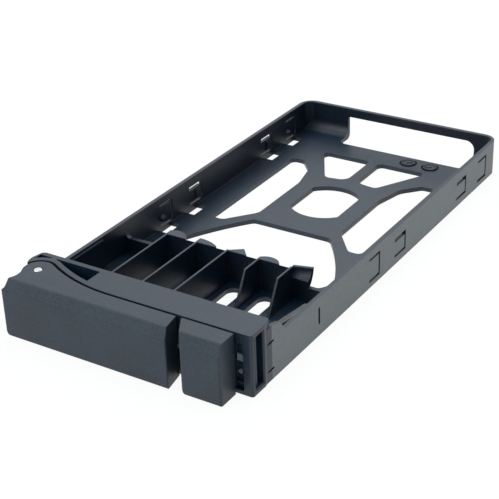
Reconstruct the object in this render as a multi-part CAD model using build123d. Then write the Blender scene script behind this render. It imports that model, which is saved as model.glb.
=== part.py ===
from build123d import *
from math import cos, radians, sin, sqrt
import os

# Frame while modelling: X across, Y from the bezel towards the rear, Z up from the underside.
# The finished pieces are moved along Y so that the origin is under the middle of the whole tray.

# Tray walls and floor
tray_width = 74.4
side_height = 11.7
wall = 1.3
floor_thick = 1.5
corner_radius = 5.0
inner_corner_radius = 3.0
rear_fillet = 4.0
rear_low_radius = 2.0
cut_past = 5.0
skin = 0.001

# Bezel across the front
bezel_side_reach = 0.2
bezel_rear_taper = 0.8
bezel_front_y = -0.6
bezel_depth = 9.7
bezel_height = 18.1
bezel_wall = 1.5
bezel_top_thick = 1.6
bezel_end_depth = 6.1
bezel_left_radius = 5.5
bezel_right_radius = 0.8
bezel_rear_right_radius = 0.6
bezel_rear_left_radius = 1.5
pocket_right_x = -15.7
pocket_end_wall = 1.0
pocket_divider = 1.6
shoulder_front_height = 16.0
shoulder_rear_height = 15.0
shoulder_length = 4.0
shoulder_foot_length = 6.9

# Lever handle, seen from above
pin_end_inset = 5.9
pin_y = 0.5
lobe_radius = 4.4
lever_gap = 0.85
lever_sweep_radius = 50.0
lever_front_y = -8.3
lever_button_gap = 0.4
lever_right_skew = 1.2
notch_radius = 4.8
notch_angle = 210.6
nose_length = 0.9
nose_flat = 0.3
lever_lift = 0.2
low_corner_radius = 1.5
handle_edge_radius = 0.4
band_edge_radius = 1.0
lever_end_radius = 0.4
front_chamfer_height = 3.5
front_chamfer_depth = 1.3
lever_wall = 1.7
lever_front_wall = 2.1
lever_rib_xs = (-14.0, 0.0)
lever_rib_thick = 1.2
lever_rib_inset = 1.0
ear_thick = 2.0

# Hinge pin, boss and spring
pin_diameter = 2.6
pin_running_gap = 0.06
boss_radius = 3.0
boss_low_z = 4.4
boss_high_z = 13.7
boss_end_gap = 0.3
web_width = 5.0
web_low_z = 9.0
hub_clearance = 0.6
hinge_wire = 0.6
wire_sides = 6
hinge_coil_radius = 3.6
hinge_turns = 2.5
hinge_pitch = 0.75
hinge_leg = 9.0
rim_leg = 4.2
leg_share = 0.97
leg_rest_width = 1.6
leg_rest_rise = 1.5
leg_gap = 0.05
pin_chamfer = 0.2
pin_foot_gap = 0.3
pin_head_gap = 0.05

# Release button and its slider
button_end_inset = 4.6
button_length = 15.8
button_left_slant = 3.9
button_gap = 0.8
button_wall = 1.5
button_top_thick = 2.3
button_front_radius = 0.8
button_rear_radius = 0.3
button_mouth_width = 9.0
button_mouth_depth = 6.0
button_mouth_shift = 0.5
button_travel = 2.0
stem_width = 5.0
stem_inset = 8.3
stem_height = 5.0
stem_z = 9.0
slide_gap = 0.3
flange_depth = 1.2
flange_rise = 1.3
slider_left_width = 3.0
slider_right_width = 2.0
slider_depth = 4.0
catch_thick = 1.4
catch_height = 3.0
catch_gap = 0.5

# Tongue on the handle that the catch holds
tongue_inset = 5.7
tongue_width = 2.0
barb_reach = 1.2
barb_thick = 1.3
tongue_height = 4.0
tongue_window_side = 1.0

# Button spring
button_wire = 0.4
button_coil_radius = 1.6
button_spring_pocket = 3.0
button_spring_turns = 4.0
spring_side_gap = 0.3
spring_end_gap = 0.05

# Light guides and the window beside the button
light_wall_gap = 1.0
light_width = 1.8
light_window_width = 2.6
light_window_drop = 3.0
light_window_low = 1.2
light_window_depth = 1.2
light_upper_z = 10.5
light_lower_z = 6.3
light_upper_height = 2.0
light_lower_height = 1.4
light_dot_radius = 0.6
light_dot_length = 4.0
light_ledge_z = 3.1
light_ledge_thick = 0.5
light_ledge_inset = 0.3
light_entry_setback = 10.9
light_entry_width = 0.9
light_entry_low_z = 3.6
light_entry_high_z = 8.7
light_gap = 0.1
light_block_reach = 2.1
light_end_inset = 0.5
light_bend_length = 3.0
light_entry_margin = 0.2
light_foot_length = 1.6

# Slot in the right end of the bezel
end_slot_front_y = 0.9
end_slot_rear_y = 5.0
end_slot_low_z = 1.5
end_slot_drop = 1.4
end_slot_depth = 2.5
end_slot_chamfer = 0.4
end_strip_width = 0.8
end_strip_front_y = 2.2
end_strip_inset = 1.0
latch_slit_setback = 0.5
latch_slit_length = 3.0
latch_slit_height = 0.6
latch_slit_depth = 0.7
latch_slit_low_z = 3.2
latch_slit_high_z = 11.4

# Front compartment
rib_pitch = 10.56
rib_middle_x = 0.8
rib_foot_thick = 1.1
rib_top_thick = 0.6
compartment_length = 35.3
cross_wall_thick = 1.0
cross_wall_drop = 0.25
cross_wall_bevel = 0.8
low_lip_height = 6.5
low_lip_radius = 1.8
low_lip_thick = 1.4
short_rib_bend_setback = 7.0
short_rib_foot_setback = 12.9
thick_wall_extra = 0.6
thick_wall_drop = 0.8
hold_tab_width = 6.9
hold_tab_thick = 0.9
hold_tab_sides = [2.5, 2.5, 0.0, 1.2]
hold_tab_middles = [3.2, 2.1, 0.0, 2.5]
peak_tab_share = 0.62
peak_tab_reach = 3.0
scoop_width = 5.6
scoop_foot_z = 8.5
scoop_reach = 2.4
scoop_thick = 0.9
scoop_bulge = 0.35
vent_width = 5.0
vent_offset = 4.7
vent_tip_setback = 2.4
vent_start_setback = 4.9
side_vent_width = 3.6
side_vent_inset = 9.3

# Drive fixing tabs in both side walls
drive_hole_spacing = 76.6
front_tab_setback = 21.4
rear_margin = 13.6
pin_tab_width = 6.6
pin_tab_low_z = 1.7
pin_tab_high_z = 9.4
pad_tab_width = 7.3
pad_tab_low_z = 2.3
pad_tab_high_z = 8.7
pad_tab_inset = 16.4
pin_slit_top = 0.7
pad_slit_top = 1.3
slit_rear = 0.8
slit_low = 0.9
drive_pin_radius = 1.3
drive_pin_reach = 1.1
drive_pin_taper = 0.75
drive_pin_z = 4.5
drive_pin_shift = -2.3
pad_reach = 0.4
pad_front = 0.5
pad_rear = 2.0
pad_margin = 0.6
core_hole_width = 3.8
core_hole_length = 7.2
pin_core_shift = -1.6
front_pad_core_shift = -3.4
rear_pad_core_shift = 0.8

# Openings in the floor
front_window_setback = 8.8
front_window_length = 28.6
front_window_side = 7.6
front_window_rear_half = 13.6
front_window_shoulder = 4.4
front_window_bulge = 0.9
front_window_bulge_rise = 0.54
front_window_side_step = 2.6
front_window_radius = 2.4
hub_hole_shift = -0.8
hub_hole_radius = 11.6
hub_hole_half = 8.7
side_window_side = 9.1
side_window_inner_inset = 21.1
side_window_front_reach = 26.3
side_window_rear_reach = 25.1
side_window_tip_inset = 13.4
side_window_front_bend = 16.8
side_window_rear_bend = 8.7
side_window_rear_shoulder_inset = 18.7
side_window_rear_shoulder = 19.2
side_window_radii = [1.8, 2.4, 4.0, 8.0, 6.0, 2.0, 1.8]
rear_window_inner_x = 1.8
rear_window_outer_inset = 16.1
rear_window_setback = 18.0
rear_window_length = 18.2
rear_window_front_x = 9.4
rear_window_front_step = 1.2
rear_window_radii = [2.0, 1.6, 2.2, 3.4]

# Opening for the drive's connector
rear_opening_left_side = 16.6
rear_opening_right_side = 6.9
rear_opening_top_z = 8.6
rear_notch_depth = 8.8
rear_opening_round = 3.0
rear_opening_small_round = 1.0

# Round mould marks on the floor
mark_radius = 3.0
mark_width = 0.6
mark_depth = 0.4
mark_setback = 13.0
mark_first_x = 10.2
mark_spacing = 8.1

# Worked out from the sizes above
half_width = tray_width / 2
inner_half = half_width - wall
bezel_half = half_width + bezel_side_reach
bezel_rear_y = bezel_front_y + bezel_depth
cross_wall_y = bezel_rear_y + compartment_length
front_tab_y = cross_wall_y + front_tab_setback
rear_tab_y = front_tab_y + drive_hole_spacing
tray_rear_y = rear_tab_y + rear_margin
overall_mid_y = (lever_front_y + tray_rear_y) / 2
rib_xs = [rib_middle_x + (i - 2) * rib_pitch for i in range(5)]
left_end_x = -bezel_half
pin_x = left_end_x + pin_end_inset
hub_radius = lobe_radius + hub_clearance
button_right_x = bezel_half - button_end_inset
button_left_x = button_right_x - button_length
button_left_front_x = button_left_x + button_left_slant
button_rear_y = bezel_front_y - button_gap
stem_x = button_right_x - stem_inset
lever_right_x = button_left_x - lever_button_gap
lever_rear_y = bezel_front_y - lever_gap
tongue_left_x = lever_right_x - tongue_inset
light_x = inner_half - thick_wall_extra - light_wall_gap - light_width / 2
light_block_left_x = light_x - light_block_reach
light_entry_y = cross_wall_y - light_entry_setback
light_bend_y = bezel_rear_y + light_bend_length
hub_hole_y = front_tab_y + drive_hole_spacing / 2 + hub_hole_shift


def block(x0, x1, y0, y1, z0, z1):
    """A box between two corners."""
    low = (min(x0, x1), min(y0, y1), min(z0, z1))
    size = (abs(x1 - x0), abs(y1 - y0), abs(z1 - z0))
    return Pos(*low) * Box(*size, align=(Align.MIN, Align.MIN, Align.MIN))


def rod(x, y, z0, z1, radius):
    """An upright cylinder."""
    return Pos(x, y, z0) * Cylinder(radius, z1 - z0, align=(Align.CENTER, Align.CENTER, Align.MIN))


def plate(face, z0, z1):
    """A flat outline raised between two heights."""
    return Pos(0, 0, z0) * extrude(face, z1 - z0)


def side_plate(face, x0, x1):
    """An outline drawn in Y and Z, extruded across X."""
    return Pos(x0, 0, 0) * extrude(Plane.YZ * face, x1 - x0)


def front_plate(face, y0, y1):
    """An outline drawn in X and Z, extruded along Y."""
    return Pos(0, y1, 0) * extrude(Plane.XZ * face, y1 - y0)


def outline(points, radii):
    """A closed outline with its own radius at each corner."""
    count = len(points)
    face = make_face(Polyline(*points, close=True))
    for size in sorted({r for r in radii if r > 0}):
        corners = [Vector(*points[i]) for i in range(count) if radii[i] == size]
        chosen = [v for v in face.vertices() if min((c - Vector(v.X, v.Y)).length for c in corners) < skin]
        face = fillet(chosen, size)
    return face


def mirrored(shape):
    """The shape and its mirror image across the middle of the tray."""
    return [shape, mirror(shape, Plane.YZ)]


def polar(angle, radius):
    """A point round the hinge pin, with the angle in degrees."""
    return (pin_x + radius * cos(radians(angle)), pin_y + radius * sin(radians(angle)))


def lever_sweep(grow=0.0):
    """Points of the handle's back: the straight part's end, the sweep's middle and the lobe's start."""
    lobe = lobe_radius + grow
    sweep = lever_sweep_radius - grow
    back_y = lever_rear_y + grow
    centre_y = back_y + sweep
    centre_x = pin_x + sqrt((sweep + lobe) ** 2 - (centre_y - pin_y) ** 2)
    share = lobe / (sweep + lobe)
    lobe_start = (pin_x + share * (centre_x - pin_x), pin_y + share * (centre_y - pin_y))
    mid_x = (lobe_start[0] + centre_x) / 2
    sweep_mid = (mid_x, centre_y - sqrt(sweep ** 2 - (mid_x - centre_x) ** 2))
    return (centre_x, back_y), sweep_mid, lobe_start


def lever_plan():
    """The handle from above: straight back, long sweep into the round lobe, notch, nose and front."""
    sweep_end, sweep_mid, lobe_start = lever_sweep()
    lobe_end = polar(notch_angle, lobe_radius)
    notch_centre = polar(notch_angle, lobe_radius + notch_radius)
    nose_x = left_end_x + nose_length
    nose_y = notch_centre[1] - sqrt(notch_radius ** 2 - (nose_x - notch_centre[0]) ** 2)
    notch_mid = (notch_centre[0] + notch_radius, notch_centre[1])
    back_right = (lever_right_x - lever_right_skew, lever_rear_y)
    edges = [
        Line(back_right, sweep_end),
        ThreePointArc(sweep_end, sweep_mid, lobe_start),
        ThreePointArc(lobe_start, polar(130, lobe_radius), lobe_end),
        ThreePointArc(lobe_end, notch_mid, (nose_x, nose_y)),
        Line((nose_x, nose_y), (left_end_x, nose_y - nose_flat)),
        Line((left_end_x, nose_y - nose_flat), (left_end_x, lever_front_y)),
        Line((left_end_x, lever_front_y), (lever_right_x, lever_front_y)),
        Line((lever_right_x, lever_front_y), back_right),
    ]
    face = make_face(edges)
    return fillet(face.vertices().sort_by(Axis.X)[-1], lever_end_radius)


def lever_room(grow):
    """The space in front of the handle's back and round its lobe, larger than the handle by a gap."""
    sweep_end, sweep_mid, lobe_start = lever_sweep(grow)
    far = tray_width
    front = make_face(
        [
            Line((far, sweep_end[1]), sweep_end),
            ThreePointArc(sweep_end, sweep_mid, lobe_start),
            Line(lobe_start, (pin_x, pin_y)),
            Line((pin_x, pin_y), (pin_x, -far)),
            Line((pin_x, -far), (far, -far)),
            Line((far, -far), (far, sweep_end[1])),
        ]
    )
    return front + Pos(pin_x, pin_y) * Circle(lobe_radius + grow)


def side_form(x0, x1):
    """The handle's or button's form from the side, with a sloping band along the top of its front."""
    face = outline(
        [
            (lever_front_y, lever_lift),
            (lever_front_y, bezel_height - front_chamfer_height),
            (lever_front_y + front_chamfer_depth, bezel_height),
            (bezel_rear_y, bezel_height),
            (bezel_rear_y, lever_lift),
        ],
        [handle_edge_radius, band_edge_radius, handle_edge_radius, 0, 0],
    )
    return side_plate(face, x0, x1)


def low_corner_form(x0, lean):
    """Room with a rounded lower left edge that runs back from the front and leans to the left."""
    x1 = x0 + tray_width
    face = outline(
        [(x0, lever_lift), (x1, lever_lift), (x1, bezel_height), (x0, bezel_height)],
        [low_corner_radius, 0, 0, 0],
    )
    way = Vector(-lean, 1, 0) * (bezel_rear_y - lever_front_y)
    return extrude(Plane.XZ.offset(-lever_front_y) * face, way.length, dir=way)


def bezel_plan():
    """The bezel from above, cut back round the handle's lobe and sweep."""
    half = bezel_half
    rear_half = half - bezel_rear_taper
    end_y = bezel_front_y + bezel_end_depth
    face = outline(
        [
            (-half, bezel_front_y),
            (half, bezel_front_y),
            (half, end_y),
            (rear_half, bezel_rear_y),
            (-rear_half, bezel_rear_y),
            (-half, end_y),
        ],
        [
            bezel_left_radius,
            bezel_right_radius,
            0,
            bezel_rear_right_radius,
            bezel_rear_left_radius,
            0,
        ],
    )
    return face - lever_room(lever_gap)


def bezel_hollows():
    """Pocket beside the hinge, open above, and the long hollow, open below."""
    rim = lever_gap + bezel_wall
    rear = bezel_rear_y - bezel_wall
    front = bezel_front_y + bezel_wall
    left = left_end_x + pocket_end_wall
    hollow_left = pocket_right_x + bezel_wall
    room = lever_room(rim)
    pocket = block(left, pocket_right_x, front, rear, floor_thick, bezel_height + cut_past)
    pocket -= plate(room, 0, bezel_height + 2 * cut_past)
    divider_y = pin_y + lobe_radius + rim - bezel_wall / 2
    divider_left = pin_x - pocket_divider / 2
    pocket -= block(divider_left, divider_left + pocket_divider, divider_y, rear, 0, bezel_height)
    hollow_top = bezel_height - bezel_top_thick
    hollow = block(hollow_left, light_block_left_x, front, rear, -cut_past, hollow_top)
    hollow -= plate(room, -2 * cut_past, bezel_height)
    return pocket, hollow


def shell():
    """Floor, side walls and rear wall with rounded rear corners."""
    front_y = bezel_rear_y - bezel_wall
    outer = outline(
        [
            (-half_width, front_y),
            (half_width, front_y),
            (half_width, tray_rear_y),
            (-half_width, tray_rear_y),
        ],
        [0, 0, corner_radius, corner_radius],
    )
    inside = outline(
        [
            (-inner_half, front_y),
            (inner_half, front_y),
            (inner_half, tray_rear_y - wall),
            (-inner_half, tray_rear_y - wall),
        ],
        [0, 0, inner_corner_radius, inner_corner_radius],
    )
    room = plate(inside, floor_thick, side_height + cut_past)
    side = outline(
        [
            (front_y - cut_past, floor_thick),
            (tray_rear_y - wall, floor_thick),
            (tray_rear_y - wall, side_height + cut_past),
            (front_y - cut_past, side_height + cut_past),
        ],
        [0, rear_fillet, 0, 0],
    )
    room &= side_plate(side, -half_width, half_width)
    low_edge = outline(
        [
            (front_y, 0),
            (tray_rear_y, 0),
            (tray_rear_y, side_height),
            (front_y, side_height),
        ],
        [0, rear_low_radius, 0, 0],
    )
    whole = plate(outer, 0, side_height) & side_plate(low_edge, -half_width, half_width)
    return whole - room


def shoulders():
    """The raised front ends of the side walls, behind the bezel."""
    face = make_face(
        Polyline(
            (bezel_front_y + bezel_end_depth, 0),
            (bezel_front_y + bezel_end_depth, shoulder_front_height),
            (bezel_rear_y, shoulder_front_height),
            (bezel_rear_y + shoulder_length, shoulder_rear_height),
            (bezel_rear_y + shoulder_foot_length, side_height),
            (bezel_rear_y + shoulder_foot_length, 0),
            close=True,
        )
    )
    return mirrored(side_plate(face, inner_half, half_width))


def rib(x, short):
    """One upright rib of the front compartment, thinner at the top."""
    section = make_face(
        Polyline(
            (x - rib_foot_thick / 2, 0),
            (x + rib_foot_thick / 2, 0),
            (x + rib_top_thick / 2, side_height),
            (x - rib_top_thick / 2, side_height),
            close=True,
        )
    )
    rear_y = cross_wall_y + cross_wall_thick / 2
    upright = front_plate(section, bezel_rear_y - bezel_wall, rear_y)
    if not short:
        return upright
    face = make_face(
        Polyline(
            (cross_wall_y - short_rib_foot_setback, 0),
            (cross_wall_y - short_rib_foot_setback, floor_thick),
            (cross_wall_y - short_rib_bend_setback, side_height),
            (rear_y, side_height),
            (rear_y, 0),
            close=True,
        )
    )
    return upright & side_plate(face, x - rib_foot_thick, x + rib_foot_thick)


def round_tab(x, side_reach, middle_reach):
    """A flat tab at the top of the cross wall with a rounded rear edge that runs out to the right."""
    right = x + hold_tab_width
    rear_y = cross_wall_y + cross_wall_thick / 2
    face = make_face(
        [
            Line((x, rear_y), (x, cross_wall_y + side_reach)),
            ThreePointArc(
                (x, cross_wall_y + side_reach),
                ((x + right) / 2, cross_wall_y + middle_reach),
                (right, rear_y),
            ),
            Line((right, rear_y), (right, cross_wall_y)),
            Line((right, cross_wall_y), (x, cross_wall_y)),
            Line((x, cross_wall_y), (x, rear_y)),
        ]
    )
    return plate(face, side_height - hold_tab_thick, side_height)


def peak_tab(x):
    """The pointed tab at the middle of the cross wall."""
    face = make_face(
        Polyline(
            (x, cross_wall_y),
            (x + hold_tab_width, cross_wall_y),
            (x + peak_tab_share * hold_tab_width, cross_wall_y + peak_tab_reach),
            close=True,
        )
    )
    return plate(face, side_height - hold_tab_thick, side_height)


def scoop_face(reach):
    """The scoop's section in Y and Z: from the wall's front face, curving back and up."""
    foot = (cross_wall_y, scoop_foot_z)
    top = (cross_wall_y + reach, side_height)
    bulge = (
        cross_wall_y + reach * (1 - scoop_bulge),
        scoop_foot_z + (side_height - scoop_foot_z) * scoop_bulge,
    )
    outer_foot = (foot[0] + scoop_thick, low_lip_height)
    outer_top = (top[0] + scoop_thick, side_height)
    outer_bulge = (bulge[0] + scoop_thick, bulge[1] - scoop_thick)
    return make_face(
        [
            Line((cross_wall_y, low_lip_height), foot),
            ThreePointArc(foot, bulge, top),
            Line(top, outer_top),
            ThreePointArc(outer_top, outer_bulge, outer_foot),
            Line(outer_foot, (cross_wall_y, low_lip_height)),
        ]
    )


def scoop():
    """The curved wing right of the last rib, leaning back more towards its right end."""
    left = Pos(rib_xs[-1], 0, 0) * (Plane.YZ * scoop_face(scoop_reach * scoop_bulge))
    right = Pos(rib_xs[-1] + scoop_width, 0, 0) * (Plane.YZ * scoop_face(scoop_reach))
    return loft([left, right], ruled=True)


def cross_wall():
    """The wall across the tray, bevelled along its rear top edge, with low lips at both ends."""
    top_z = side_height - cross_wall_drop
    section = make_face(
        Polyline(
            (cross_wall_y, 0),
            (cross_wall_y, top_z),
            (cross_wall_y + cross_wall_thick, top_z - cross_wall_bevel),
            (cross_wall_y + cross_wall_thick, 0),
            close=True,
        )
    )
    left = rib_xs[0]
    right = rib_xs[-1]
    across = side_plate(section, left, right)
    for x0, x1, radii in (
        (-inner_half, left, [low_lip_radius, 0, 0, 0]),
        (right, inner_half, [0, low_lip_radius, 0, 0]),
    ):
        wall_end = block(x0, x1, cross_wall_y, cross_wall_y + low_lip_thick, 0, side_height)
        gap = outline(
            [
                (x0, low_lip_height),
                (x1, low_lip_height),
                (x1, side_height + cut_past),
                (x0, side_height + cut_past),
            ],
            radii,
        )
        across += wall_end - front_plate(gap, cross_wall_y - cut_past, cross_wall_y + cut_past)
    return across


def compartment():
    """Ribs, cross wall, tabs and scoop between the bezel and the drive bay."""
    pieces = [rib(x, i > 2) for i, x in enumerate(rib_xs)]
    pieces.append(cross_wall())
    for i, x in enumerate(rib_xs[:-1]):
        left = x - rib_top_thick / 2
        if hold_tab_sides[i] > 0:
            pieces.append(round_tab(left, hold_tab_sides[i], hold_tab_middles[i]))
        else:
            pieces.append(peak_tab(left))
    pieces.append(scoop())
    wall_front = bezel_rear_y - bezel_wall
    for x in (-inner_half, inner_half - thick_wall_extra):
        thick = block(x, x + thick_wall_extra, wall_front, light_entry_y, 0, side_height - thick_wall_drop)
        pieces.append(thick)
    return pieces


def vent_face(x0, width):
    """A slot in the floor with a round rear end."""
    right = x0 + width
    tip = cross_wall_y - vent_tip_setback
    round_y = tip - width / 2
    start = bezel_rear_y + vent_start_setback
    return make_face(
        [
            Line((x0, round_y), (x0, start)),
            Line((x0, start), (right, start)),
            Line((right, start), (right, round_y)),
            ThreePointArc((right, round_y), (x0 + width / 2, tip), (x0, round_y)),
        ]
    )


def vents():
    """The floor slots between the ribs and the one beside the right wall."""
    faces = [vent_face(x + vent_offset - vent_width / 2, vent_width) for x in rib_xs[:-1]]
    faces.append(vent_face(inner_half - side_vent_inset, side_vent_width))
    return faces


def floor_windows():
    """The large openings in the floor of the drive bay."""
    front_y = cross_wall_y + front_window_setback
    front_half = inner_half - front_window_side
    top = (front_window_rear_half, front_y + front_window_length)
    shoulder = (front_half, front_y + front_window_shoulder)
    mid = (
        (top[0] + shoulder[0]) / 2 + front_window_bulge,
        (top[1] + shoulder[1]) / 2 + front_window_bulge_rise,
    )
    front = (front_half - front_window_side_step, front_y)
    left = [(-p[0], p[1]) for p in (front, shoulder, mid, top)]
    front_window = make_face(
        [
            Line(left[0], front),
            Line(front, shoulder),
            ThreePointArc(shoulder, mid, top),
            Line(top, left[3]),
            ThreePointArc(left[3], left[2], left[1]),
            Line(left[1], left[0]),
        ]
    )
    front_window = fillet(front_window.vertices(), front_window_radius)
    hub = Pos(0, hub_hole_y) * (Circle(hub_hole_radius) & Rectangle(2 * hub_hole_half, 3 * hub_hole_radius))
    tip_x = inner_half - side_window_tip_inset
    inner_x = inner_half - side_window_inner_inset
    shoulder_x = inner_half - side_window_rear_shoulder_inset
    side = outline(
        [
            (inner_half - side_window_side, hub_hole_y - side_window_front_reach),
            (tip_x, hub_hole_y - side_window_front_reach),
            (inner_x, hub_hole_y - side_window_front_bend),
            (inner_x, hub_hole_y + side_window_rear_bend),
            (shoulder_x, hub_hole_y + side_window_rear_shoulder),
            (tip_x, hub_hole_y + side_window_rear_reach),
            (inner_half - side_window_side, hub_hole_y + side_window_rear_reach),
        ],
        side_window_radii,
    )
    rear_y = tray_rear_y - rear_window_setback
    rear = outline(
        [
            (rear_window_inner_x, rear_y),
            (inner_half - rear_window_outer_inset, rear_y),
            (rear_window_front_x, rear_y - rear_window_length),
            (rear_window_inner_x, rear_y - rear_window_length + rear_window_front_step),
        ],
        rear_window_radii,
    )
    return [front_window, hub] + mirrored(side) + mirrored(rear)


def rear_opening():
    """The opening in the rear wall, carried on as a notch in the floor."""
    left = -inner_half + rear_opening_left_side
    right = inner_half - rear_opening_right_side
    notch_y = tray_rear_y - rear_notch_depth
    slot = outline(
        [(left, -cut_past), (right, -cut_past), (right, rear_opening_top_z), (left, rear_opening_top_z)],
        [0, 0, rear_opening_round, rear_opening_small_round],
    )
    window = Pos(0, tray_rear_y + cut_past, 0) * extrude(Plane.XZ * slot, wall + 2 * cut_past)
    notch = outline(
        [(left, notch_y), (right, notch_y), (right, tray_rear_y + wall), (left, tray_rear_y + wall)],
        [rear_opening_round, rear_opening_round, 0, 0],
    )
    return [window, plate(notch, -cut_past, floor_thick + skin)]


def tab_ys():
    """Middles of the pin tabs and the pad tabs along the wall."""
    pins = [front_tab_y, rear_tab_y]
    pads = [front_tab_y + pad_tab_inset, rear_tab_y - pad_tab_inset]
    return pins, pads


def tab_slits(y, width, low, high, slit_top):
    """The U-shaped cut that frees a spring tab, hinged at its front edge."""
    y0 = y - width / 2
    y1 = y + width / 2
    x0 = inner_half - wall
    x1 = half_width + wall
    return [
        block(x0, x1, y0, y1, high - slit_top, high),
        block(x0, x1, y1 - slit_rear, y1, low, high),
        block(x0, x1, y0, y1, low, low + slit_low),
    ]


def drive_pin(y):
    """A tapered pin on the inner face of a tab, for the drive's side hole."""
    cone = Cone(drive_pin_radius, drive_pin_radius * drive_pin_taper, drive_pin_reach)
    return Pos(inner_half - drive_pin_reach / 2, y, drive_pin_z) * Rot(0, -90, 0) * cone


def side_tabs():
    """Cuts and added pins and pads for one side wall, the right one."""
    pins, pads = tab_ys()
    cuts = []
    adds = []
    for y in pins:
        cuts += tab_slits(y, pin_tab_width, pin_tab_low_z, pin_tab_high_z, pin_slit_top)
        adds.append(drive_pin(y + drive_pin_shift))
    for y in pads:
        cuts += tab_slits(y, pad_tab_width, pad_tab_low_z, pad_tab_high_z, pad_slit_top)
        top = pad_tab_high_z - pad_slit_top - pad_margin
        low = pad_tab_low_z + slit_low + pad_margin
        adds.append(block(inner_half - pad_reach, inner_half, y - pad_front, y + pad_rear, low, top))
    hole_ys = [y + pin_core_shift for y in pins]
    hole_ys += [pads[0] + front_pad_core_shift, pads[1] + rear_pad_core_shift]
    for y in hole_ys:
        front = y - core_hole_length / 2
        rear = y + core_hole_length / 2
        hole_left = inner_half - core_hole_width
        cuts.append(block(hole_left, inner_half, front, rear, -cut_past, floor_thick + skin))
    return cuts, adds


def guide_front(z, height, grow, dotted):
    """The straight front stretch of a light guide, or with a clearance the room for it."""
    front_y = bezel_front_y + light_window_depth - light_end_inset
    half = light_width / 2 + grow
    low = z - height / 2 - grow
    high = z + height / 2 + grow
    if not dotted:
        return block(light_x - half, light_x + half, front_y, light_bend_y, low, high)
    dot_rear = front_y + light_dot_length
    dot = Pos(light_x, dot_rear, z) * Rot(90, 0, 0) * Cylinder(
        light_dot_radius + grow,
        light_dot_length,
        align=(Align.CENTER, Align.CENTER, Align.MIN),
    )
    return dot + block(light_x - half, light_x + half, dot_rear - grow, light_bend_y, low, high)


def end_slot():
    """The slot in the end of the bezel, with a bevelled mouth and a strip left standing in it."""
    high_z = bezel_height - end_slot_drop
    floor_x = bezel_half - end_slot_depth
    slot = block(floor_x, bezel_half, end_slot_front_y, end_slot_rear_y, end_slot_low_z, high_z)
    mouth = block(
        bezel_half - end_slot_chamfer,
        bezel_half + end_slot_chamfer,
        end_slot_front_y - end_slot_chamfer,
        end_slot_rear_y + end_slot_chamfer,
        end_slot_low_z - end_slot_chamfer,
        high_z + end_slot_chamfer,
    )
    mouth = chamfer(mouth.faces().sort_by(Axis.X)[0].edges(), end_slot_chamfer - skin)
    strip_x = bezel_half - end_strip_inset
    strip_rear = end_strip_front_y + end_strip_width
    strip = block(floor_x, strip_x, end_strip_front_y, strip_rear, end_slot_low_z, high_z)
    return slot + mouth - strip


def light_window():
    """The recess beside the button, with a ledge left across its lower part."""
    left = light_x - light_window_width / 2
    right = light_x + light_window_width / 2
    rear = bezel_front_y + light_window_depth
    top = bezel_height - light_window_drop
    recess = block(left, right, bezel_front_y - cut_past, rear, light_window_low, top)
    ledge_top = light_ledge_z + light_ledge_thick
    return recess - block(left, right, bezel_front_y + light_ledge_inset, rear, light_ledge_z, ledge_top)


def bezel_end_cuts():
    """Slot in the end, light window, slits in the side wall and the light entry."""
    entry_front = light_entry_y - light_entry_width / 2
    entry_left = inner_half - thick_wall_extra - wall
    cuts = [
        end_slot(),
        light_window(),
        guide_front(light_upper_z, light_upper_height, light_gap, False),
        guide_front(light_lower_z, light_lower_height, light_gap, True),
        block(
            entry_left,
            half_width + wall,
            entry_front,
            entry_front + light_entry_width,
            light_entry_low_z,
            light_entry_high_z,
        ),
    ]
    slit_front = bezel_rear_y - latch_slit_setback - latch_slit_length / 2
    slit_rear = slit_front + latch_slit_length
    slit_x = half_width - latch_slit_depth
    for z in (latch_slit_low_z, latch_slit_high_z):
        low = z - latch_slit_height / 2
        cuts.append(block(slit_x, half_width + wall, slit_front, slit_rear, low, low + latch_slit_height))
    return cuts


def stem_window():
    """Slot in the bezel's front wall that the button's stem slides in."""
    return block(
        stem_x - stem_width / 2 - slide_gap,
        stem_x + stem_width / 2 + button_travel + slide_gap,
        bezel_front_y - cut_past,
        bezel_front_y + bezel_wall + skin,
        stem_z - stem_height / 2 - slide_gap,
        stem_z + stem_height / 2 + slide_gap,
    )


def tongue_window():
    """Slot in the bezel's front wall that the handle's tongue swings through."""
    return block(
        tongue_left_x - tongue_window_side,
        tongue_left_x + tongue_width + barb_reach + tongue_window_side,
        bezel_front_y - cut_past,
        bezel_front_y + bezel_wall + skin,
        stem_z - tongue_height / 2 - slide_gap,
        stem_z + tongue_height / 2 + slide_gap,
    )


def hinge_boss():
    """The body's boss round the pin and its web back to the bezel's rim."""
    boss = rod(pin_x, pin_y, boss_low_z, boss_high_z, boss_radius)
    web = block(
        pin_x - web_width / 2,
        pin_x + web_width / 2,
        pin_y,
        pin_y + lobe_radius + lever_gap + bezel_wall / 2,
        web_low_z,
        boss_high_z,
    )
    return boss, web, rod(pin_x, pin_y, boss_low_z - cut_past, boss_high_z + cut_past, pin_diameter / 2)


def make_tray_body():
    """The moulded tray with its bezel, compartment, tabs and floor openings."""
    body = shell()
    body += compartment()
    body += shoulders()
    bezel = plate(bezel_plan(), 0, bezel_height)
    body += bezel
    pocket, hollow = bezel_hollows()
    body -= pocket
    body -= hollow
    body -= [plate(face, -cut_past, floor_thick + skin) for face in vents() + floor_windows()]
    body -= rear_opening()
    cuts, adds = side_tabs()
    for cut in cuts:
        body -= mirrored(cut)
    for add in adds:
        body += mirrored(add)
    body -= bezel_end_cuts()
    body -= [stem_window(), tongue_window()]
    boss, web, hole = hinge_boss()
    body += [boss, web]
    body -= hole
    ring = Circle(mark_radius) - Circle(mark_radius - mark_width)
    for x in (mark_first_x, mark_first_x + mark_spacing):
        mark = Pos(x, tray_rear_y - mark_setback) * ring
        body -= plate(mark, floor_thick - mark_depth, floor_thick + skin)
    return body


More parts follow.
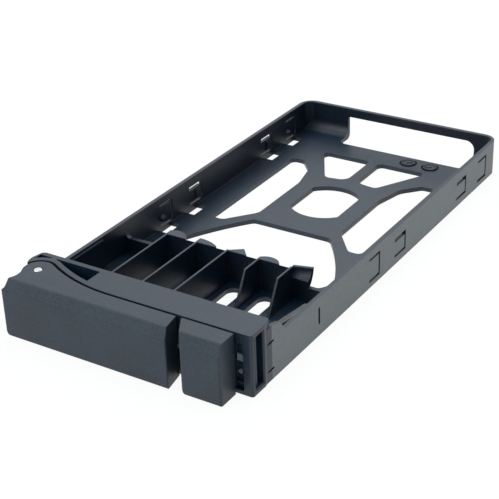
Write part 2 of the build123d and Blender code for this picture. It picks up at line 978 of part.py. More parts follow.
def make_lever_handle():
    """The swinging handle: a C-section grip with two ears round the pin and a latch tongue."""
    lever = plate(lever_plan(), lever_lift, bezel_height)
    lever &= side_form(left_end_x, lever_right_x)
    lever &= low_corner_form(left_end_x, 0)
    inner_front = lever_front_y + lever_front_wall
    inner_right = lever_right_x - lever_right_skew - lever_wall
    inner_low = lever_lift + ear_thick
    inner_high = bezel_height - ear_thick
    lever -= block(pin_x, inner_right, inner_front, bezel_rear_y, inner_low, inner_high)
    lever -= rod(pin_x, pin_y, boss_low_z - boss_end_gap, boss_high_z + boss_end_gap, hub_radius)
    rib_low = lever_lift + lever_rib_inset
    rib_high = bezel_height - lever_rib_inset
    for x in lever_rib_xs:
        lever += block(x, x + lever_rib_thick, inner_front, lever_rear_y, rib_low, rib_high)
    rest_x = pin_x + hinge_leg - 2 * leg_rest_width
    rest_y = pin_y - hinge_coil_radius - hinge_wire / 2 - leg_gap
    rest_high = hinge_spring_low_z() + leg_rest_rise
    lever += block(rest_x, rest_x + leg_rest_width, inner_front - skin, rest_y, rib_low, rest_high)
    lever -= rod(pin_x, pin_y, -cut_past, bezel_height + cut_past, pin_diameter / 2 + pin_running_gap)
    z0 = stem_z - tongue_height / 2
    z1 = stem_z + tongue_height / 2
    barb_front = catch_front_y() + catch_thick + slide_gap
    right = tongue_left_x + tongue_width
    lever += block(tongue_left_x, right, inner_front, barb_front + barb_thick, z0, z1)
    lever += block(tongue_left_x, right + barb_reach, barb_front, barb_front + barb_thick, z0, z1)
    return lever


def catch_front_y():
    """Front face of the button's catch, inside the bezel."""
    return bezel_front_y + bezel_wall + slide_gap + flange_depth


def button_face():
    """The button from above."""
    return outline(
        [
            (button_left_x, button_rear_y),
            (button_left_front_x, lever_front_y),
            (button_right_x, lever_front_y),
            (button_right_x, button_rear_y),
        ],
        [button_rear_radius, button_front_radius, button_front_radius, button_rear_radius],
    )


def make_release_button():
    """The release button: hollow cap, stem, retaining flange, slider and catch."""
    cap = plate(button_face(), lever_lift, bezel_height)
    cap &= side_form(button_left_x, button_right_x)
    cap &= low_corner_form(button_left_front_x, button_left_slant / (button_rear_y - lever_front_y))
    mouth = Rectangle(button_mouth_width, button_mouth_depth)
    inside = offset(button_face(), -button_wall) + Pos(stem_x + button_mouth_shift, button_rear_y) * mouth
    cap -= plate(inside, lever_lift + button_wall, bezel_height - button_top_thick)
    inner = bezel_front_y + bezel_wall + slide_gap
    back = inner + flange_depth
    z0 = stem_z - stem_height / 2
    z1 = stem_z + stem_height / 2
    x0 = stem_x - stem_width / 2
    x1 = stem_x + stem_width / 2
    cap += block(x0, x1, lever_front_y + button_wall, back, z0, z1)
    cap += block(x0, x1, inner, back, z0 - flange_rise, z1 + flange_rise)
    cap += block(stem_x - slider_left_width, stem_x + slider_right_width, back, back + slider_depth, z0, z1)
    catch_tip = tongue_left_x + tongue_width + barb_reach + catch_gap
    low = stem_z - catch_height / 2
    cap += block(catch_tip, x0, back, back + catch_thick, low, low + catch_height)
    cap -= Pos(spring_left_x(), spring_y(), stem_z) * Rot(0, 90, 0) * Cylinder(
        button_coil_radius + button_wire / 2 + spring_side_gap,
        button_spring_pocket + cut_past,
        align=(Align.CENTER, Align.CENTER, Align.MIN),
    )
    return cap


def spring_left_x():
    """Seat of the button spring inside the slider."""
    return stem_x + slider_right_width - button_spring_pocket


def spring_y():
    """The button spring's axis, mid-way through the slider."""
    return catch_front_y() + slider_depth / 2


def make_button_spring():
    """The compression spring that pushes the button back to the left."""
    length = light_block_left_x - spring_left_x() - 2 * spring_end_gap
    pitch = (length - button_wire) / button_spring_turns
    path = Helix(pitch, length - button_wire, button_coil_radius)
    wire = sweep(Plane(origin=path @ 0, z_dir=path % 0) * RegularPolygon(button_wire / 2, wire_sides), path)
    left = spring_left_x() + spring_end_gap + button_wire / 2
    return Pos(left, spring_y(), stem_z) * Rot(0, 90, 0) * wire


def hinge_spring_low_z():
    """Height of the spring's lower leg."""
    return boss_low_z + hinge_wire / 2 + 2 * leg_gap


def make_hinge_spring():
    """The torsion spring round the boss: a long leg on the handle and a short one on the body's rim."""
    height = hinge_turns * hinge_pitch
    path = Helix(hinge_pitch, height, hinge_coil_radius, lefthand=True)
    wire = sweep(Plane(origin=path @ 0, z_dir=path % 0) * RegularPolygon(hinge_wire / 2, wire_sides), path)
    low_z = hinge_spring_low_z()
    coil = Pos(pin_x, pin_y, low_z) * Rot(0, 0, -90) * wire
    legs = []
    for side, z, length in ((-1, low_z, hinge_leg), (1, low_z + height, rim_leg)):
        start = Pos(pin_x - 1.5 * hinge_wire, pin_y + side * hinge_coil_radius, z)
        leg = Cylinder(leg_share * hinge_wire / 2, length, align=(Align.CENTER, Align.CENTER, Align.MIN))
        legs.append(start * Rot(0, 90, 0) * leg)
    return coil + legs


def make_hinge_pin():
    """The steel pin through the handle's ears and the body's boss."""
    pin = rod(pin_x, pin_y, lever_lift + pin_foot_gap, bezel_height - pin_head_gap, pin_diameter / 2)
    return chamfer(pin.edges().group_by(Axis.Z)[-1], pin_chamfer)


def make_light_guide(z, height, entry_z, dotted):
    """One clear guide from the entry slit in the side wall to the recess beside the button."""
    rear_y = light_entry_y + light_entry_width / 2
    face = make_face(
        Polyline(
            (light_bend_y, z - height / 2),
            (light_bend_y, z + height / 2),
            (rear_y, entry_z + height / 2),
            (rear_y, entry_z - height / 2),
            close=True,
        )
    )
    arm = side_plate(face, light_x - light_width / 2, light_x + light_width / 2)
    foot = block(
        light_x,
        inner_half - thick_wall_extra - light_gap,
        rear_y - light_foot_length,
        rear_y,
        entry_z - height / 2,
        entry_z + height / 2,
    )
    return guide_front(z, height, 0, dotted) + arm + foot


def main():
    """Builds every piece and writes one file for each."""
    entry_low = light_entry_low_z + light_lower_height / 2 + light_entry_margin
    entry_high = light_entry_high_z - light_upper_height / 2 - light_entry_margin
    pieces = {
        "tray_body": make_tray_body(),
        "lever_handle": make_lever_handle(),
        "hinge_pin": make_hinge_pin(),
        "hinge_spring": make_hinge_spring(),
        "release_button": make_release_button(),
        "button_spring": make_button_spring(),
        "upper_light_guide": make_light_guide(light_upper_z, light_upper_height, entry_high, False),
        "lower_light_guide": make_light_guide(light_lower_z, light_lower_height, entry_low, True),
    }
    os.makedirs("parts", exist_ok=True)
    for name, piece in pieces.items():
        export_step(Pos(0, -overall_mid_y, 0) * piece, f"parts/{name}.step")
        print(name, round(piece.volume, 1), len(piece.solids()))


main()
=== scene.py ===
import bpy
from math import cos, radians, sin
from mathutils import Matrix, Vector


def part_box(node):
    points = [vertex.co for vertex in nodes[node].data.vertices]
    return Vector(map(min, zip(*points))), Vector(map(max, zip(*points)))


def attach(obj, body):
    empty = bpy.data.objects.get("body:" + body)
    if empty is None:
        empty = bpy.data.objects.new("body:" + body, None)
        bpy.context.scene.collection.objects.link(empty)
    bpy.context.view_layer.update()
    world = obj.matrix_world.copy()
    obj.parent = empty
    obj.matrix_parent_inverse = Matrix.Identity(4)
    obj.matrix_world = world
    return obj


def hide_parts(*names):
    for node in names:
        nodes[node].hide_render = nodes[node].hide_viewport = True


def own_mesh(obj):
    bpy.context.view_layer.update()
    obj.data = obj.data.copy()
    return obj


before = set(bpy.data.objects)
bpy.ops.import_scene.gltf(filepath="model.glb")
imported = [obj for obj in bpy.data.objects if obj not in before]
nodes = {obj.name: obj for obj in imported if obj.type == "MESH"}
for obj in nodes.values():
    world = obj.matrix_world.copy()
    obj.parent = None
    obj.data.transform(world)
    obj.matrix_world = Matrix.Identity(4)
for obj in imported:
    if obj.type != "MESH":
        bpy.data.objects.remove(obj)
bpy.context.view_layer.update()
print("frame loaded:", ", ".join(sorted(nodes)))


# Sockets that add Math nodes when they are used in an expression
class Socket:
    def __init__(self, finish, link):
        self.finish = finish
        self.link = link

    def join(self, operation, first, second):
        return self.finish.add("ShaderNodeMath", {"operation": operation}, {0: first, 1: second})

    def __add__(self, other):
        return self.join("ADD", self, other)

    def __radd__(self, other):
        return self.join("ADD", other, self)

    def __sub__(self, other):
        return self.join("SUBTRACT", self, other)

    def __rsub__(self, other):
        return self.join("SUBTRACT", other, self)

    def __mul__(self, other):
        return self.join("MULTIPLY", self, other)

    def __rmul__(self, other):
        return self.join("MULTIPLY", other, self)

    def __truediv__(self, other):
        return self.join("DIVIDE", self, other)

    def __rtruediv__(self, other):
        return self.join("DIVIDE", other, self)

    def __pow__(self, other):
        return self.join("POWER", self, other)

    def larger(self, other):
        return self.join("MAXIMUM", self, other)

    def smaller(self, other):
        return self.join("MINIMUM", self, other)

    def above(self, other):
        return self.join("GREATER_THAN", self, other)

    def below(self, other):
        return self.join("LESS_THAN", self, other)

    def size(self):
        return self.finish.add("ShaderNodeMath", {"operation": "ABSOLUTE"}, {0: self})


# One node tree, built node by node
class Finish:
    def __init__(self, owner):
        self.owner = owner
        self.owner.use_nodes = True
        self.tree = owner.node_tree
        self.tree.nodes.clear()

    def add(self, kind, settings=None, sockets=None, output=0):
        node = self.tree.nodes.new(kind)
        for key, value in (settings or {}).items():
            if key == "stops":
                self.setStops(node.color_ramp, value)
            else:
                setattr(node, key, value)
        for key, value in (sockets or {}).items():
            if isinstance(value, Socket):
                self.tree.links.new(value.link, node.inputs[key])
            else:
                node.inputs[key].default_value = value
        return Socket(self, node.outputs[output])

    def setStops(self, ramp, stops):
        while len(ramp.elements) < len(stops):
            ramp.elements.new(1.0)
        for element, (place, level) in zip(ramp.elements, stops):
            element.position = place
            element.color = (level, level, level, 1)

    def place(self):
        return self.add("ShaderNodeTexCoord", output="Object")

    def split(self, place):
        sides = self.add("ShaderNodeSeparateXYZ", None, {0: place}).link.node
        return [Socket(self, side) for side in sides.outputs]

    def noise(self, place, scale, detail=2.0, roughness=0.5):
        sockets = {"Vector": place, "Scale": scale, "Detail": detail, "Roughness": roughness}
        return self.add("ShaderNodeTexNoise", None, sockets)

    def ramp(self, value, stops):
        return self.add("ShaderNodeValToRGB", {"stops": stops}, {0: value})

    def blendColour(self, share, first, second):
        return self.add("ShaderNodeMix", {"data_type": "RGBA"}, {0: share, 6: first, 7: second}, 2)

    def bump(self, height, distance, strength, normal=None):
        sockets = {"Height": height, "Distance": distance, "Strength": strength}
        if normal is not None:
            sockets["Normal"] = normal
        return self.add("ShaderNodeBump", None, sockets)

    def plastic(self, colour, roughness, specular, normal):
        sockets = {"Base Color": colour, "Roughness": roughness}
        sockets.update({"Specular IOR Level": specular, "Normal": normal})
        return self.add("ShaderNodeBsdfPrincipled", None, sockets)

    def close(self, surface, kind="ShaderNodeOutputMaterial"):
        output = self.tree.nodes.new(kind)
        self.tree.links.new(surface.link, output.inputs[0])
        return self.owner


def newFinish(name):
    return Finish(bpy.data.materials.new(name))


# Moulded plastic: broad colour drift, sheen drift, spark-eroded grain and faint handling marks
mouldingLook = {
    "driftDetail": 3.0,
    "driftRoughness": 0.55,
    "grainDetail": 2.0,
    "grainRoughness": 0.6,
    "wipeFineness": 6,  # handling marks are this much finer than the drift
    "wipeDetail": 4.0,
    "wipeRoughness": 0.65,
    "speckleStops": [(0.36, 0.0), (0.64, 1.0)],
    "patchStops": [(0.3, 0.0), (0.7, 1.0)],
    "patchShare": 0.4,  # of the pale colour that comes from broad patches
    "speckleShare": 0.6,
    "noiseMiddle": 0.5,
    "bevelSamples": 4,
}
trayLook = {
    "dark": (0.001, 0.008, 0.018, 1),
    "pale": (0.006, 0.019, 0.036, 1),
    "outsidePaintedLight": (0.090, 0.105, 0.109, 1),  # outer walls: satin finish, with the colour painted much lighter as painted light from the white floor
    "outsidePale": (0.126, 0.146, 0.150, 1),
    "inside": (0.001, 0.006, 0.015, 1),  # upright faces inside the tray and the floor by the side walls: smooth, with the colour painted darker as painted shade
    "wallSpecular": 0.42,
    "wallRoughness": 0.40,
    "insideLow": 0.0016,  # just above the floor's top
    "insideFade": 0.0020,
    "insideHigh": 0.0113,  # just under the walls' top
    "footStart": 0.0265,  # the floor is painted darker, as painted shade, from here to the side walls
    "footEnd": 0.0359,
    "cornerX": 0.0322,  # middles of the rear corners' rounds
    "cornerY": 0.07715,
    "cornerReach": 0.0049,  # past this from them is the outer face
    "bezelRear": -0.0647,
    "driftScale": 34.0,
    "roughness": 0.36,
    "bezelRoughness": 0.06,  # added over the bezel
    "roughnessDrift": 0.10,
    "speckleRoughness": 0.10,
    "specular": 0.5,
    "grainScale": 2000.0,
    "grainDepth": 0.000045,
    "grainStrength": 0.9,
    "edge": 0.00026,
}
handleLook = {
    "dark": (0.004, 0.011, 0.019, 1),
    "pale": (0.026, 0.041, 0.056, 1),
    "driftScale": 60.0,
    "roughness": 0.46,
    "roughnessDrift": 0.10,
    "speckleRoughness": 0.10,
    "specular": 0.42,
    "grainScale": 1900.0,
    "grainDepth": 0.000050,
    "grainStrength": 0.9,
    "edge": 0.00030,
}


# Two mould dials on the floor: an insert with an arrow and plain numbers inside each ring groove
dialLook = {
    "centres": ((0.0102, 0.06915), (0.0183, 0.06915)),
    "arrowTurns": (40, 205),
    "floorTop": 0.0015,
    "radius": 0.00236,
    "rise": 0.00030,
    "buried": 0.00010,
    "rim": 0.00018,
    "dish": 0.00020,
    "sides": 64,
    "arrowLength": 0.0022,
    "arrowShaft": 0.6,  # share of the length, the rest is the head
    "arrowWidth": 0.00042,
    "arrowHead": 0.00058,  # half the head's width
    "arrowTip": 0.04,  # the tip's share of that width
    "numbers": 12,
    "numberSize": 0.00072,
    "numberRadius": 0.00176,
    "numberRise": 0.00012,
    "numberCurve": 2,
    "numberWeld": 0.000002,
    "grooveMiddle": 0.0027,
    "grooveHalf": 0.00034,
    "grooveTop": 0.0016,  # the groove's painted shade shows between these two heights
    "grooveFloor": 0.0005,
    # painted shade: the ring groove is painted darker than the floor
    "groovePaintedShade": (0.001, 0.004, 0.009, 1),
    "grooveRoughness": 0.5,
    "roughness": 0.34,
    "edge": 0.00004,
}


def dialGroove(finish, x, y, z, centre):
    away = ((x - centre[0]) ** 2 + (y - centre[1]) ** 2) ** 0.5
    ring = (away - dialLook["grooveMiddle"]).size().below(dialLook["grooveHalf"])
    return ring * z.below(dialLook["grooveTop"]) * z.above(dialLook["grooveFloor"])


def plasticFinish(name, look):
    finish = newFinish(name)
    place = finish.place()
    mould = mouldingLook
    middle = mould["noiseMiddle"]
    wipeScale = look["driftScale"] * mould["wipeFineness"]
    drift = finish.noise(place, look["driftScale"], mould["driftDetail"], mould["driftRoughness"])
    grain = finish.noise(place, look["grainScale"], mould["grainDetail"], mould["grainRoughness"])
    wipe = finish.noise(place, wipeScale, mould["wipeDetail"], mould["wipeRoughness"])
    speckle = finish.ramp(grain, mould["speckleStops"])
    patch = finish.ramp(drift, mould["patchStops"])
    paleShare = patch * mould["patchShare"] + speckle * mould["speckleShare"]
    colour = finish.blendColour(paleShare, look["dark"], look["pale"])
    sheen = (drift - middle + wipe - middle) * look["roughnessDrift"]
    uneven = sheen + (speckle - middle) * look["speckleRoughness"]
    roughness = uneven + look["roughness"]
    edge = finish.add("ShaderNodeBevel", {"samples": mould["bevelSamples"]}, {"Radius": look["edge"]})
    normal = finish.bump(grain, look["grainDepth"], look["grainStrength"], edge)
    if "outsidePaintedLight" not in look:
        return finish.close(finish.plastic(colour, roughness, look["specular"], normal))
    # For the tray: painted light on the outer walls, painted shade inside the tray and in the dial
    # grooves
    x, y, z = finish.split(place)
    onBezel = y.below(look["bezelRear"])
    pastX = (x.size() - look["cornerX"]).larger(0)
    pastY = (y - look["cornerY"]).larger(0)
    outsidePaintedLight = ((pastX ** 2 + pastY ** 2) ** 0.5).above(look["cornerReach"])
    # Painted shade: the upright faces inside the tray and the floor next to the side walls get the
    # darker inner colour
    foot = (x.size() - look["footStart"]).larger(0) / (look["footEnd"] - look["footStart"])
    rise = (z - look["insideLow"]).larger(0) / look["insideFade"]
    upright = foot.larger(rise).smaller(1) * z.below(look["insideHigh"])
    roughness = roughness + onBezel * look["bezelRoughness"]
    # Painted shade: the ring grooves round the dials are painted darker, and made rougher
    for centre in dialLook["centres"]:
        groove = dialGroove(finish, x, y, z, centre)
        colour = finish.blendColour(groove, colour, dialLook["groovePaintedShade"])
        roughness = roughness + groove * dialLook["grooveRoughness"]
    textured = finish.plastic(colour, roughness, look["specular"], normal)
    # Painted light: the outer walls get a much lighter colour than the rest of the tray, standing in for
    # light from the white floor
    paintedLightColour = finish.blendColour(speckle, look["outsidePaintedLight"], look["outsidePale"])
    # The walls' shader: painted light on the outer walls, painted shade on the faces inside the tray
    wallPaintedLightAndShade = finish.blendColour(outsidePaintedLight, look["inside"], paintedLightColour)
    wallRoughness = uneven + look["wallRoughness"]
    smooth = finish.plastic(wallPaintedLightAndShade, wallRoughness, look["wallSpecular"], normal)
    share = outsidePaintedLight.larger(upright) * (1 - onBezel)
    return finish.close(finish.add("ShaderNodeMixShader", None, {0: share, 1: textured, 2: smooth}))


# Steel: turned end of the pin and drawn wire of the springs
steelLook = {
    "bright": (0.80, 0.80, 0.78, 1),
    "dull": (0.62, 0.62, 0.61, 1),
    "roughness": 0.28,
    "roughnessDrift": 0.15,
    "ringScale": 900.0,
    "ringDistortion": 0.4,
    "ringDepth": 0.00001,
    "ringStrength": 0.15,
    "streakScale": 900.0,
    "streakDetail": 3.0,
    "streakRoughness": 0.6,
}


def steelFinish(name, look, centre=None):
    finish = newFinish(name)
    place = finish.place()
    if centre is not None:
        place = finish.add("ShaderNodeMapping", None, {"Vector": place, "Location": centre})
    streak = finish.noise(place, look["streakScale"], look["streakDetail"], look["streakRoughness"])
    colour = finish.blendColour(streak, look["bright"], look["dull"])
    settings = {"wave_type": "RINGS", "rings_direction": "Z"}
    sockets = {"Vector": place, "Scale": look["ringScale"], "Distortion": look["ringDistortion"]}
    rings = finish.add("ShaderNodeTexWave", settings, sockets)
    normal = finish.bump(rings, look["ringDepth"], look["ringStrength"])
    uneven = (streak - mouldingLook["noiseMiddle"]) * look["roughnessDrift"]
    surface = finish.add(
        "ShaderNodeBsdfPrincipled",
        None,
        {
            "Base Color": colour,
            "Metallic": 1.0,
            "Roughness": look["roughness"] + uneven,
            "Normal": normal,
        },
    )
    return finish.close(surface)


# Clear plastic of the light guides, its colour made dark as painted shade, frosted at the front end
guideLook = {
    # painted shade: the clear guides are tinted nearly black for the shade they sit in
    "colour": (0.022, 0.040, 0.062, 1),
    "cloudy": (0.050, 0.080, 0.110, 1),
    "specular": 0.25,
    "transmission": 0.95,
    "refraction": 1.49,
    "cloudScale": 900.0,
    "cloudDetail": 3.0,
    "roughness": 0.12,
    "roughnessDrift": 0.1,
    "frosted": (0.13, 0.16, 0.19, 1),
    "frostPale": (0.20, 0.24, 0.28, 1),
    "frostDepth": 0.0006,
    "frostRoughness": 0.35,
}


def guideFinish(name, look, frontY):
    finish = newFinish(name)
    place = finish.place()
    cloud = finish.noise(place, look["cloudScale"], look["cloudDetail"])
    uneven = (cloud - mouldingLook["noiseMiddle"]) * look["roughnessDrift"]
    clear = finish.add(
        "ShaderNodeBsdfPrincipled",
        None,
        {
            "Base Color": finish.blendColour(cloud, look["colour"], look["cloudy"]),
            "Roughness": look["roughness"] + uneven,
            "Transmission Weight": look["transmission"],
            "Specular IOR Level": look["specular"],
            "IOR": look["refraction"],
        },
    )
    frost = finish.add(
        "ShaderNodeBsdfPrincipled",
        None,
        {
            "Base Color": finish.blendColour(cloud, look["frosted"], look["frostPale"]),
            "Roughness": look["frostRoughness"],
        },
    )
    front = finish.split(place)[1].below(frontY + look["frostDepth"])
    return finish.close(finish.add("ShaderNodeMixShader", None, {0: front, 1: clear, 2: frost}))


def dress(name, material):
    mesh = nodes[name].data
    mesh.materials.clear()
    mesh.materials.append(material)


pinCentre = (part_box("hinge_pin")[0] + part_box("hinge_pin")[1]) / 2
trayPlastic = plasticFinish("trayPlasticPaintedLightAndShade", trayLook)
handlePlastic = plasticFinish("mattHandlePlastic", handleLook)
pinSteel = steelFinish("turnedSteel", steelLook, (-pinCentre[0], -pinCentre[1], 0))
wireSteel = steelFinish("springWire", steelLook)
guideClear = guideFinish("clearGuidePaintedShade", guideLook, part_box("upper_light_guide")[0][1])
for name, material in (
    ("tray_body", trayPlastic),
    ("lever_handle", handlePlastic),
    ("release_button", handlePlastic),
    ("hinge_pin", pinSteel),
    ("hinge_spring", wireSteel),
    ("button_spring", wireSteel),
    ("upper_light_guide", guideClear),
    ("lower_light_guide", guideClear),
):
    dress(name, material)
print("finishes made")


facingShare = 0.9  # a face counts as facing a direction past this cosine


def clearSelection():
    if bpy.context.object and bpy.context.object.mode != "OBJECT":
        bpy.ops.object.mode_set(mode="OBJECT")
    bpy.ops.object.select_all(action="DESELECT")


def selectFaces(piece, chosen):
    bpy.ops.object.mode_set(mode="EDIT")
    bpy.ops.mesh.select_mode(type="FACE")
    bpy.ops.mesh.select_all(action="DESELECT")
    bpy.ops.object.mode_set(mode="OBJECT")
    for face in piece.data.polygons:
        face.select = chosen(face)
    bpy.ops.object.mode_set(mode="EDIT")


def setPlace():
    bpy.ops.object.mode_set(mode="OBJECT")
    bpy.ops.object.transform_apply(location=True, rotation=True, scale=True)
    return bpy.context.object


def joinPieces(pieces, name):
    clearSelection()
    for piece in pieces:
        piece.select_set(True)
    bpy.context.view_layer.objects.active = pieces[0]
    bpy.ops.object.join()
    pieces[0].name = name
    pieces[0].data.name = name
    return pieces[0]


def dialInsert(look, centre):
    clearSelection()
    depth = look["rise"] + look["buried"]
    middle = look["floorTop"] + look["rise"] - depth / 2
    bpy.ops.mesh.primitive_cylinder_add(
        vertices=look["sides"], radius=look["radius"], depth=depth, location=(*centre, middle)
    )
    insert = bpy.context.object
    selectFaces(insert, lambda face: face.normal.z > facingShare)
    bpy.ops.mesh.inset(thickness=look["rim"])
    bpy.ops.mesh.inset(thickness=look["dish"])
    bpy.ops.transform.translate(value=(0, 0, -look["dish"]))
    return setPlace()


def dialArrow(look, centre, turn):
    clearSelection()
    top = look["floorTop"] + look["rise"] - look["dish"]
    bpy.ops.mesh.primitive_cube_add(size=1, location=(*centre, top), rotation=(0, 0, radians(turn)))
    arrow = bpy.context.object
    arrow.scale = (look["arrowLength"] * look["arrowShaft"], look["arrowWidth"], look["dish"] * 2)
    bpy.ops.object.transform_apply(location=False, rotation=False, scale=True)
    selectFaces(arrow, lambda face: face.normal.x > facingShare)
    bpy.ops.mesh.extrude_region_move(TRANSFORM_OT_translate={"value": (0, 0, 0)})
    headShare = look["arrowHead"] * 2 / look["arrowWidth"]
    bpy.ops.transform.resize(value=(1, headShare, 1), orient_type="LOCAL")
    shift = look["arrowLength"] * (1 - look["arrowShaft"])
    step = (shift * cos(radians(turn)), shift * sin(radians(turn)), 0)
    bpy.ops.mesh.extrude_region_move(TRANSFORM_OT_translate={"value": step})
    bpy.ops.transform.resize(value=(1, look["arrowTip"], 1), orient_type="LOCAL")
    return setPlace()


def dialNumber(look, centre, number):
    clearSelection()
    turn = radians(90 - 360 * number / look["numbers"])
    x = centre[0] + look["numberRadius"] * cos(turn)
    y = centre[1] + look["numberRadius"] * sin(turn)
    top = look["floorTop"] + look["rise"] - look["dish"]
    bpy.ops.object.text_add(location=(x, y, top), rotation=(0, 0, turn - radians(90)))
    figure = bpy.context.object
    figure.data.body = str(number)
    figure.data.size = look["numberSize"]
    figure.data.align_x = "CENTER"
    figure.data.align_y = "CENTER"
    figure.data.resolution_u = look["numberCurve"]
    figure.data.extrude = look["numberRise"]
    bpy.ops.object.convert(target="MESH")
    bpy.ops.object.mode_set(mode="EDIT")
    bpy.ops.mesh.select_all(action="SELECT")
    bpy.ops.mesh.remove_doubles(threshold=look["numberWeld"])
    bpy.ops.mesh.normals_make_consistent(inside=False)
    return setPlace()


def addDial(look, name, centre, turn):
    parts = [dialInsert(look, centre), dialArrow(look, centre, turn)]
    parts += [dialNumber(look, centre, number) for number in range(1, look["numbers"] + 1)]
    dial = joinPieces(parts, name)
    dial.data.materials.clear()
    dial.data.materials.append(dialPlastic)
    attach(dial, "tray")


dialSheen = dict(handleLook, roughness=dialLook["roughness"], edge=dialLook["edge"])
dialPlastic = plasticFinish("dialPlastic", dialSheen)
dialNames = ("mouldDialLeft", "mouldDialRight")
for name, centre, turn in zip(dialNames, dialLook["centres"], dialLook["arrowTurns"]):
    addDial(dialLook, name, centre, turn)
print("mould dials added")


# Compression spring behind the button
springLook = {
    "wire": 0.0004,
    "wireSides": 10,
    "turns": 6,
    "turnSteps": 24,
    "smoothAngle": 50,
    "travel": 0.002,  # how far the button slides
}


def addButtonSpring(look):
    clearSelection()
    low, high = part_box("button_spring")
    middle = (low + high) / 2
    coil = (high[2] - low[2] - look["wire"]) / 2
    length = high[0] - low[0] - look["wire"]
    start = (low[0] + look["wire"] / 2, middle[1], middle[2])
    bpy.ops.mesh.primitive_circle_add(
        vertices=look["wireSides"], radius=look["wire"] / 2, location=start, rotation=(radians(90), 0, 0)
    )
    spring = bpy.context.object
    spring.name = "buttonSpringCoil"
    bpy.ops.object.transform_apply(location=False, rotation=True, scale=False)
    bpy.ops.object.mode_set(mode="EDIT")
    bpy.ops.mesh.select_all(action="SELECT")
    bpy.ops.transform.translate(value=(0, 0, coil))
    bpy.ops.object.mode_set(mode="OBJECT")
    screw = spring.modifiers.new("coil", "SCREW")
    screw.axis = "X"
    screw.screw_offset = length / look["turns"]
    screw.iterations = look["turns"]
    screw.steps = look["turnSteps"]
    screw.render_steps = look["turnSteps"]
    bpy.ops.object.modifier_apply(modifier="coil")
    bpy.ops.object.mode_set(mode="EDIT")
    bpy.ops.mesh.select_all(action="SELECT")
    bpy.ops.mesh.fill_holes(sides=0)
    bpy.ops.mesh.select_all(action="SELECT")
    bpy.ops.mesh.normals_make_consistent(inside=False)
    setPlace()
    bpy.ops.object.shade_smooth_by_angle(angle=radians(look["smoothAngle"]))
    spring.data.materials.append(wireSteel)
    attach(spring, "tray")
    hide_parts("button_spring")
    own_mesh(spring)


addButtonSpring(springLook)
print("button spring coiled")


# Floor, world, lamps and camera
roomLook = {
    "floorSize": 6.0,
    "floorColour": (0.86, 0.87, 0.88, 1),
    "floorPale": (0.88, 0.89, 0.90, 1),
    "floorScale": 3.0,
    "floorRoughness": 0.8,
    "floorGlow": 0.92,  # share of plain white that the camera and gloss see, the rest takes the shadow
    "white": (1.0, 1.0, 1.0, 1),
    "worldColour": (0.90, 0.95, 1.0, 1),
    "horizonLevel": 0.15,
    "overheadLevel": 1.45,
    "rightShade": 0.6,  # how much darker the backdrop is towards the right
}


def raySeen(finish, kind):
    return finish.add("ShaderNodeLightPath", output=kind)


def backdropSeen(finish):
    looking = raySeen(finish, "Is Camera Ray").larger(raySeen(finish, "Is Glossy Ray"))
    return looking.larger(raySeen(finish, "Is Transmission Ray"))


def addFloor(look):
    bpy.ops.object.select_all(action="DESELECT")
    bpy.ops.mesh.primitive_plane_add(size=look["floorSize"], location=(0, 0, 0))
    floor = bpy.context.object
    floor.name = "paleFloor"
    finish = newFinish("paleFloor")
    tone = finish.noise(finish.place(), look["floorScale"])
    colour = finish.blendColour(tone, look["floorColour"], look["floorPale"])
    sockets = {"Base Color": colour, "Roughness": look["floorRoughness"]}
    matt = finish.add("ShaderNodeBsdfPrincipled", None, sockets)
    glow = finish.add("ShaderNodeEmission", None, {"Color": look["white"], "Strength": 1.0})
    share = backdropSeen(finish) * look["floorGlow"]
    both = finish.add("ShaderNodeMixShader", None, {0: share, 1: matt, 2: glow})
    floor.data.materials.append(finish.close(both))


def lightWorld(look):
    world = bpy.data.worlds.new("softWorld")
    bpy.context.scene.world = world
    finish = Finish(world)
    sides = finish.split(finish.add("ShaderNodeTexCoord", output="Generated"))
    right, up = sides[0].larger(0), sides[2].larger(0)
    level = up ** 2 * look["overheadLevel"] + look["horizonLevel"]
    soft = finish.add("ShaderNodeBackground", None, {"Color": look["worldColour"], "Strength": level})
    shade = right * look["rightShade"] * raySeen(finish, "Is Glossy Ray")
    plain = finish.add("ShaderNodeBackground", None, {"Color": look["white"], "Strength": 1 - shade})
    both = finish.add("ShaderNodeMixShader", None, {0: backdropSeen(finish), 1: soft, 2: plain})
    finish.close(both, "ShaderNodeOutputWorld")


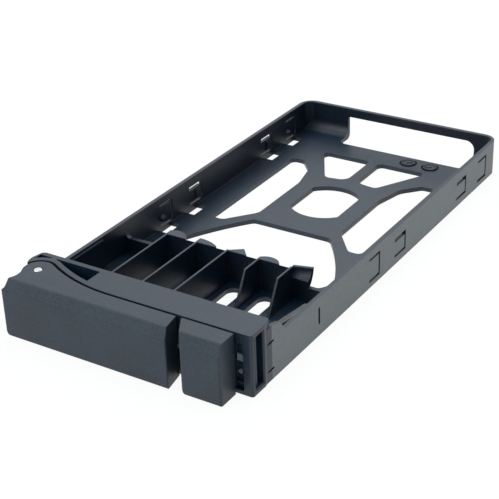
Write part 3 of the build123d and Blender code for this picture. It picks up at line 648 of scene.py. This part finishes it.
lampColour = (0.86, 0.93, 1.0)
lamps = {
    "keyBox": {
        "place": (-0.05, 0.30, 0.60),
        "aim": (0.0, 0.0, 0.0),
        "size": 0.7,
        "power": 2.3,
    },
    "fillBox": {
        "place": (-0.30, -0.55, 0.45),
        "aim": (0.0, -0.05, 0.01),
        "size": 0.6,
        "power": 2.5,
    },
}


def addLamp(name, lamp):
    data = bpy.data.lights.new(name, "AREA")
    data.energy = lamp["power"]
    data.size = lamp["size"]
    data.color = lampColour
    thing = bpy.data.objects.new(name, data)
    bpy.context.scene.collection.objects.link(thing)
    thing.location = lamp["place"]
    towards = Vector(lamp["aim"]) - Vector(lamp["place"])
    thing.rotation_mode = "QUATERNION"
    thing.rotation_quaternion = towards.to_track_quat("-Z", "Y")


cameraLook = {
    "place": (0.18817, -0.30559, 0.18978),
    "yaw": -33.05,
    "pitch": 28.10,
    "roll": -2.03,
    "focalPixels": 1322.2,
    "imagePixels": 499,
    "sensor": 36.0,
    "nearest": 0.01,
    "farthest": 20.0,
}


def addCamera(look):
    yaw, pitch, roll = (radians(look[turn]) for turn in ("yaw", "pitch", "roll"))
    forward = Vector((sin(yaw) * cos(pitch), cos(yaw) * cos(pitch), -sin(pitch)))
    level = Vector((cos(yaw), -sin(yaw), 0))
    upright = level.cross(forward)
    right = cos(roll) * level + sin(roll) * upright
    up = cos(roll) * upright - sin(roll) * level
    data = bpy.data.cameras.new("viewCamera")
    data.sensor_width = look["sensor"]
    data.lens = look["focalPixels"] / look["imagePixels"] * look["sensor"]
    data.clip_start = look["nearest"]
    data.clip_end = look["farthest"]
    camera = bpy.data.objects.new("viewCamera", data)
    bpy.context.scene.collection.objects.link(camera)
    turn = Matrix((right, up, -forward)).transposed().to_4x4()
    camera.matrix_world = Matrix.Translation(look["place"]) @ turn
    bpy.context.scene.camera = camera


addFloor(roomLook)
lightWorld(roomLook)
for name, lamp in lamps.items():
    addLamp(name, lamp)
addCamera(cameraLook)
bpy.context.scene.view_settings.view_transform = "Standard"
print("room, lamps and camera set")
